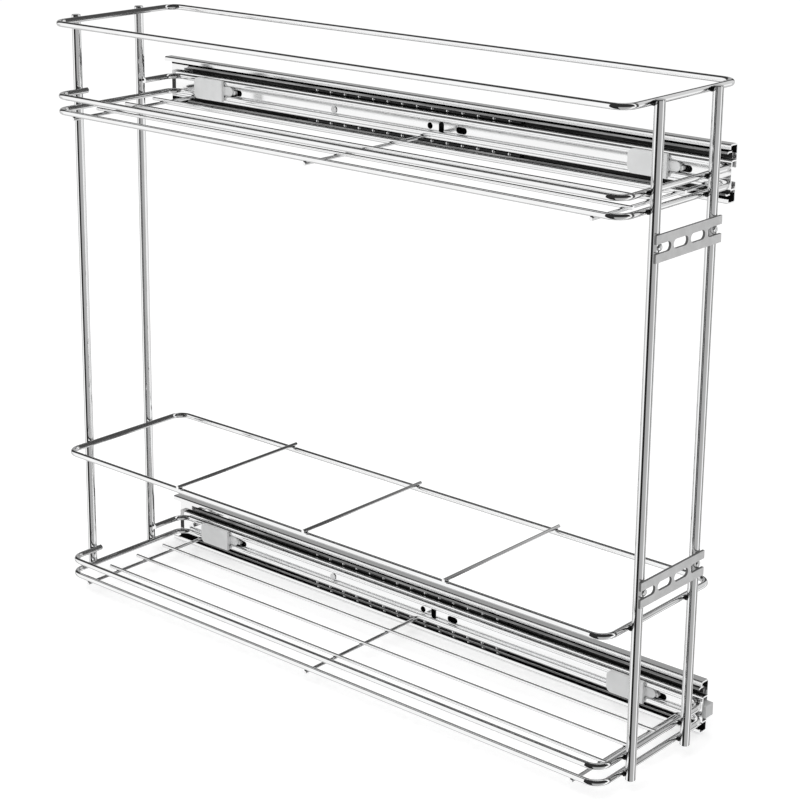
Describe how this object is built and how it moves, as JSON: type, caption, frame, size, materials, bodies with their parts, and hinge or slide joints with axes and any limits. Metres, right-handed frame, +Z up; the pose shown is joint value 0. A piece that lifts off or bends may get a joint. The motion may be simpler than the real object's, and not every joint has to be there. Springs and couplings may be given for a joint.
{
  "type": "pull out cabinet basket",
  "caption": "Narrow two-tier chrome wire basket that pulls out of a kitchen cabinet on side-mounted full-extension ball-bearing slides, with slotted door brackets at its front.",
  "frame": {"origin": "middle screw hole of the lower slide's cabinet rail, on the rail's wall-side face", "axes": "+X the way the basket pulls out, +Y towards the cabinet's side panel, +Z up"},
  "size_m": [0.6185, 0.1612, 0.5277],
  "materials": {
    "upright_chrome": "polished",
    "wire_chrome": "polished",
    "bracket_steel": "matt grey",
    "outer_rail_steel": "bright zinc plated",
    "middle_rail_steel": "bright zinc plated",
    "inner_rail_steel": "bright zinc plated",
    "ball_steel": "polished",
    "cage_plastic": "black",
    "clip_plastic": "light grey, slightly translucent",
    "catch_plastic": "light grey",
    "buffer_plastic": "black",
    "rivet_steel": "bright"
  },
  "bodies": {
    "cabinet_rails": {"upper_outer_rail": "outer_rail_steel", "lower_outer_rail": "outer_rail_steel"},
    "basket": {"rear_upright_near": "upright_chrome", "rear_upright_far": "upright_chrome", "front_upright_near": "upright_chrome", "front_upright_far": "upright_chrome", "upper_top_rail": "wire_chrome", "upper_mid_rail": "wire_chrome", "upper_floor_rail": "wire_chrome", "upper_cross_wires": "wire_chrome", "upper_floor_wires": "wire_chrome", "lower_top_rail": "wire_chrome", "lower_mid_rail": "wire_chrome", "lower_floor_rail": "wire_chrome", "lower_cross_wires": "wire_chrome", "lower_floor_wires": "wire_chrome", "lower_divider_wires": "wire_chrome", "upper_door_bracket": "bracket_steel", "lower_door_bracket": "bracket_steel", "upper_inner_rail": "inner_rail_steel", "upper_rear_clip": "clip_plastic", "upper_front_clip": "clip_plastic", "upper_rivet": "rivet_steel", "upper_rear_buffer": "buffer_plastic", "lower_inner_rail": "inner_rail_steel", "lower_rear_clip": "clip_plastic", "lower_front_clip": "clip_plastic", "lower_rivet": "rivet_steel", "lower_rear_buffer": "buffer_plastic"},
    "upper_middle_member": {"upper_middle_rail": "middle_rail_steel"},
    "lower_middle_member": {"lower_middle_rail": "middle_rail_steel", "lower_front_catch": "catch_plastic"},
    "upper_outer_ball_cage": {"upper_outer_cage": "cage_plastic", "upper_outer_balls": "ball_steel"},
    "upper_inner_ball_cage": {"upper_inner_cage": "cage_plastic", "upper_inner_balls": "ball_steel"},
    "lower_outer_ball_cage": {"lower_outer_cage": "cage_plastic", "lower_outer_balls": "ball_steel"},
    "lower_inner_ball_cage": {"lower_inner_cage": "cage_plastic", "lower_inner_balls": "ball_steel"}
  },
  "joints": [
    {"name": "basket_pull_out", "type": "slide", "parent": "cabinet_rails", "child": "basket", "axis": [1, 0, 0], "range_m": [0, 0.6]},
    {"name": "upper_middle_member_slide", "type": "slide", "parent": "cabinet_rails", "child": "upper_middle_member", "axis": [1, 0, 0], "range_m": [0, 0.3]},
    {"name": "upper_outer_ball_cage_slide", "type": "slide", "parent": "cabinet_rails", "child": "upper_outer_ball_cage", "axis": [1, 0, 0], "range_m": [0, 0.15]},
    {"name": "upper_inner_ball_cage_slide", "type": "slide", "parent": "cabinet_rails", "child": "upper_inner_ball_cage", "axis": [1, 0, 0], "range_m": [0, 0.45]},
    {"name": "lower_middle_member_slide", "type": "slide", "parent": "cabinet_rails", "child": "lower_middle_member", "axis": [1, 0, 0], "range_m": [0, 0.3]},
    {"name": "lower_outer_ball_cage_slide", "type": "slide", "parent": "cabinet_rails", "child": "lower_outer_ball_cage", "axis": [1, 0, 0], "range_m": [0, 0.15]},
    {"name": "lower_inner_ball_cage_slide", "type": "slide", "parent": "cabinet_rails", "child": "lower_inner_ball_cage", "axis": [1, 0, 0], "range_m": [0, 0.45]}
  ],
  "couplings": [
    {"joint": "upper_middle_member_slide", "follows": "basket_pull_out", "ratio": 0.5},
    {"joint": "upper_outer_ball_cage_slide", "follows": "basket_pull_out", "ratio": 0.25},
    {"joint": "upper_inner_ball_cage_slide", "follows": "basket_pull_out", "ratio": 0.75},
    {"joint": "lower_middle_member_slide", "follows": "basket_pull_out", "ratio": 0.5},
    {"joint": "lower_outer_ball_cage_slide", "follows": "basket_pull_out", "ratio": 0.25},
    {"joint": "lower_inner_ball_cage_slide", "follows": "basket_pull_out", "ratio": 0.75}
  ]
}
